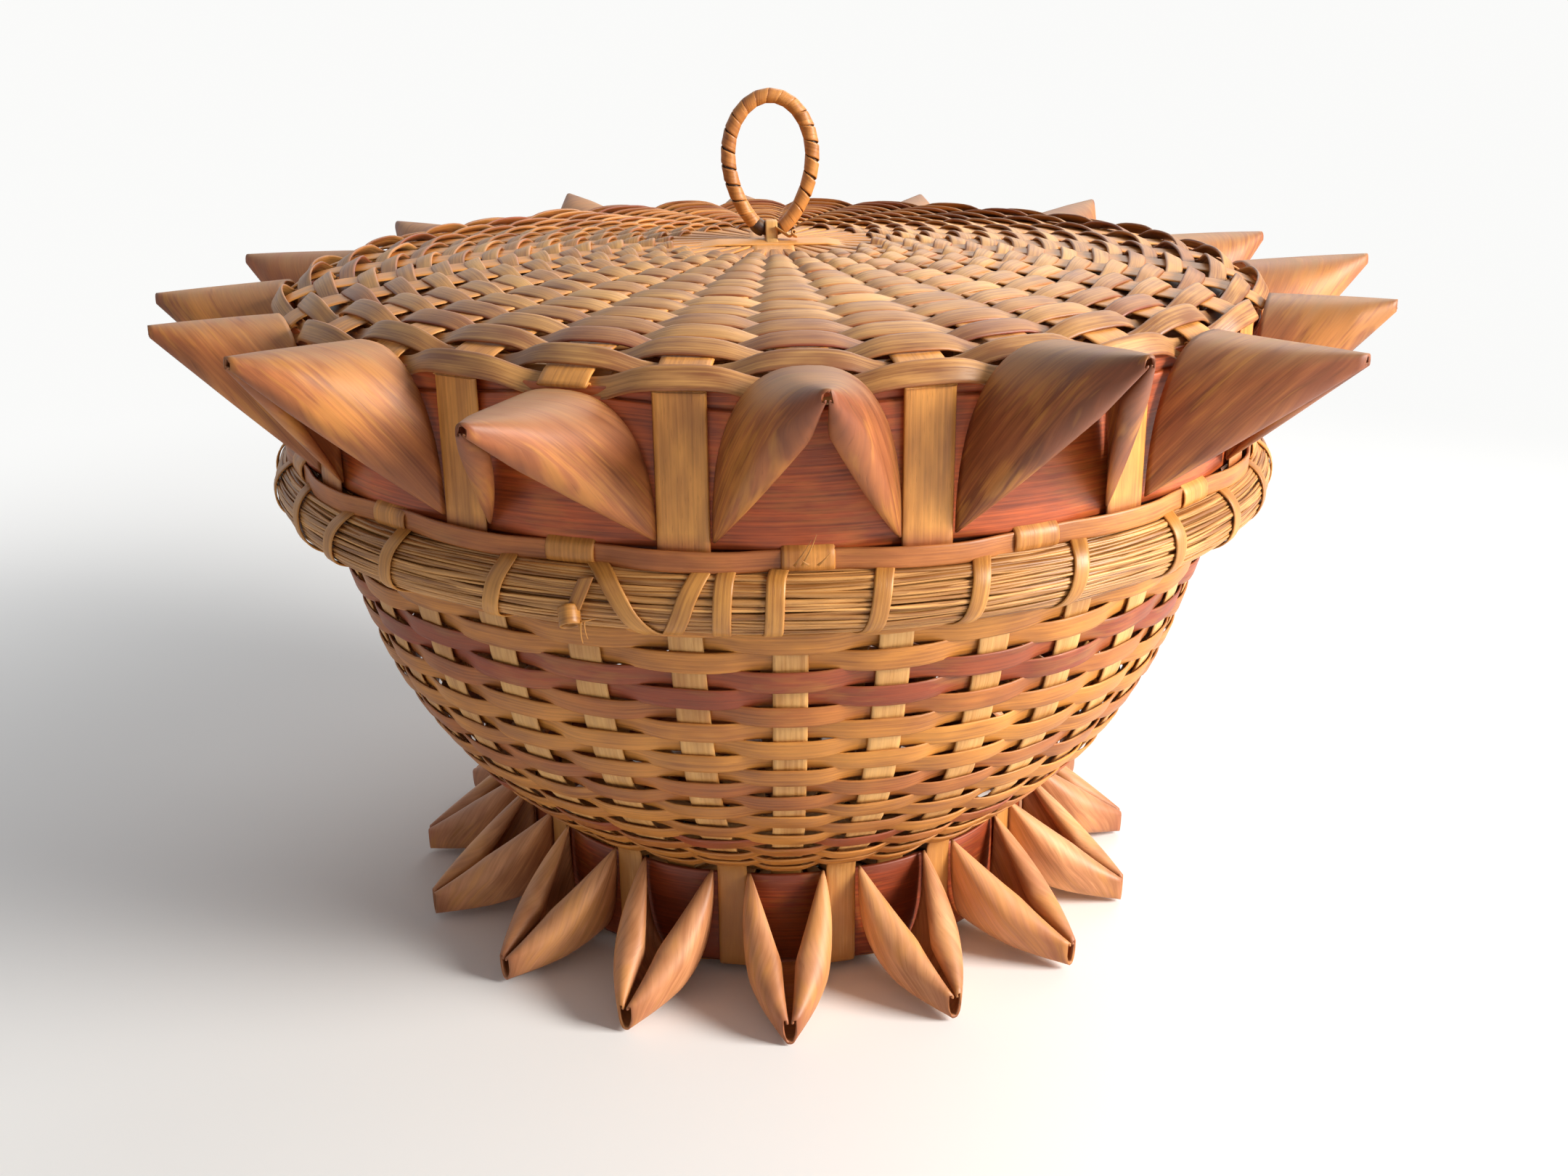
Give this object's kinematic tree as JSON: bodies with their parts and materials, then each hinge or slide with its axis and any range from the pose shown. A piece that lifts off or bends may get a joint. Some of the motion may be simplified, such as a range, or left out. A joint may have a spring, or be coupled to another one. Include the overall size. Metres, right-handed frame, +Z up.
{
  "type": "lidded splint basket",
  "caption": "Round footed basket of woven ash splints with a lift-off lid, curled splint points on lid and foot, a lashed sweetgrass rim and a wrapped loop handle.",
  "frame": {"origin": "on the surface it stands on, under the centre of the foot", "axes": "+Z up, -Y towards the front of the picture, +X to the right seen from the front"},
  "size_m": [0.2452, 0.2452, 0.166],
  "materials": {
    "ash_weave": "thin tan ash weavers, matt with a faint sheen, some rows dyed pink",
    "ash_stakes": "pale cream to golden ash stakes, smooth",
    "dyed_ash": "ash splint with a faded red dye and straight grain",
    "curled_ash": "orange brown ash splint with fine grain and a soft sheen",
    "sweetgrass": "dry straw coloured grass blades, satin",
    "lashing_ash": "narrow golden ash splint, satin",
    "hoop_ash": "thicker ash hoop, planed",
    "handle_splint": "brown splint wound round a core, satin"
  },
  "bodies": {
    "basket": {"stake_frame": "ash_stakes", "base_weave": "ash_weave", "side_weave": "ash_weave", "foot_band": "dyed_ash", "foot_point_01": "curled_ash", "foot_point_02": "curled_ash", "foot_point_03": "curled_ash", "foot_point_04": "curled_ash", "foot_point_05": "curled_ash", "foot_point_06": "curled_ash", "foot_point_07": "curled_ash", "foot_point_08": "curled_ash", "foot_point_09": "curled_ash", "foot_point_10": "curled_ash", "foot_point_11": "curled_ash", "foot_point_12": "curled_ash", "foot_point_13": "curled_ash", "foot_point_14": "curled_ash", "foot_point_15": "curled_ash", "foot_point_16": "curled_ash", "rim_outer_hoop": "hoop_ash", "rim_inner_hoop": "hoop_ash", "rim_lashing": "lashing_ash"},
    "lid": {"lid_stake_frame": "ash_stakes", "lid_top_weave": "ash_weave", "lid_wide_band": "dyed_ash", "lid_narrow_weaver": "dyed_ash", "lid_inner_hoop": "hoop_ash", "lid_grass_rim": "sweetgrass", "lid_rim_lashing_1": "lashing_ash", "lid_rim_lashing_2": "lashing_ash", "lid_curl_01": "curled_ash", "lid_curl_02": "curled_ash", "lid_curl_03": "curled_ash", "lid_curl_04": "curled_ash", "lid_curl_05": "curled_ash", "lid_curl_06": "curled_ash", "lid_curl_07": "curled_ash", "lid_curl_08": "curled_ash", "lid_curl_09": "curled_ash", "lid_curl_10": "curled_ash", "lid_curl_11": "curled_ash", "lid_curl_12": "curled_ash", "lid_curl_13": "curled_ash", "lid_curl_14": "curled_ash", "lid_curl_15": "curled_ash", "lid_curl_16": "curled_ash", "handle_keeper": "handle_splint"},
    "handle": {"handle_loop": "handle_splint", "handle_wrap": "handle_splint"}
  },
  "joints": [
    {"name": "lid_lift", "type": "slide", "parent": "basket", "child": "lid", "axis": [0, 0, 1], "range_m": [0, 0.08]},
    {"name": "handle_tilt", "type": "hinge", "parent": "lid", "child": "handle", "pos_m": [0, 0, 0.13843], "axis": [0.9997, 0.0262, 0], "range_deg": [-55, 55]}
  ]
}
